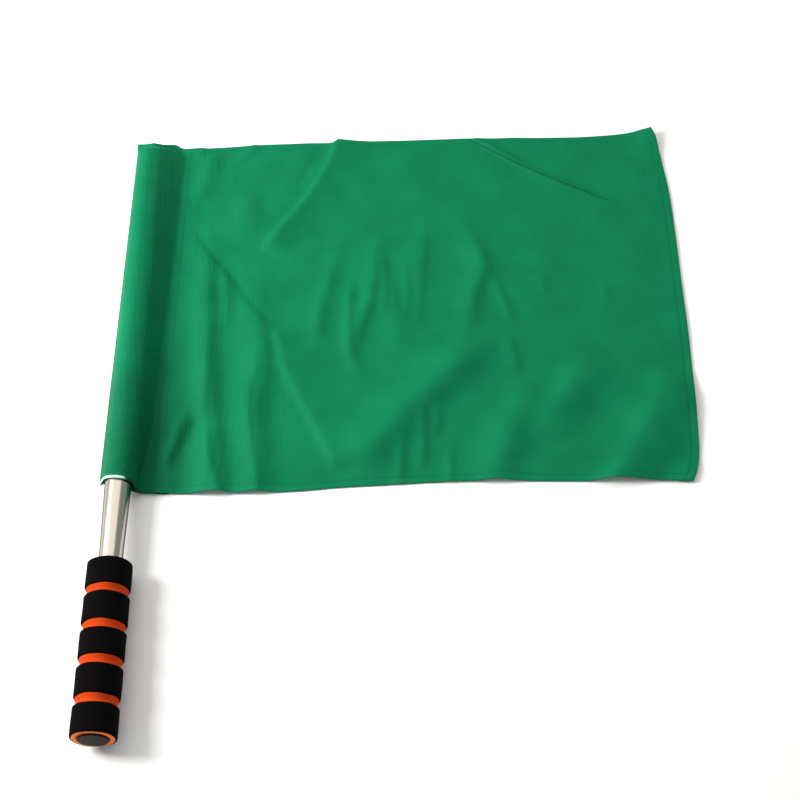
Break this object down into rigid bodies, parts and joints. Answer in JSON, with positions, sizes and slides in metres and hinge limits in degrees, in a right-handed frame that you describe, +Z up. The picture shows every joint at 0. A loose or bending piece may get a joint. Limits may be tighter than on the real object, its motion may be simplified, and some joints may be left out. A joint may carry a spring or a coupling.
{
  "type": "hand signal flag",
  "caption": "Hand-held signal flag: a cloth flag whose sleeve turns on a straight metal pole with a ribbed foam grip.",
  "frame": {"origin": "middle of the bottom of the box around the whole flag, on the surface that it lies on", "axes": "+Z up; +Y along the pole from the grip's butt to the flag's top end; +X from the pole across the laid cloth"},
  "size_m": [0.4052, 0.4774, 0.0317],
  "materials": {
    "stainless_tube": "polished stainless steel tube, narrowed towards the grip",
    "plug_plastic": "moulded dark grey plastic",
    "orange_foam": "smooth closed-cell foam",
    "black_foam": "ground closed-cell foam, matte",
    "green_cloth": "plain woven polyester, slight sheen",
    "green_thread": "sewing thread",
    "pale_thread": "overlock thread"
  },
  "bodies": {
    "pole": {"pole_tube": "stainless_tube", "top_plug": "plug_plastic", "butt_plug": "plug_plastic", "grip_core": "orange_foam", "grip_ring_1": "black_foam", "grip_ring_2": "black_foam", "grip_ring_3": "black_foam", "grip_ring_4": "black_foam", "grip_ring_5": "black_foam"},
    "flag": {"flag_cloth": "green_cloth", "sleeve_seam_thread": "green_thread", "sleeve_end_thread": "green_thread", "top_hem_thread": "green_thread", "bottom_hem_thread": "green_thread", "fly_hem_thread": "green_thread", "mouth_binding": "pale_thread"}
  },
  "joints": [
    {"name": "flag_turn", "type": "hinge", "parent": "pole", "child": "flag", "pos_m": [-0.1876, 0.22456, 0.00987], "axis": [0, -0.9999, 0.0148], "continuous": true}
  ]
}
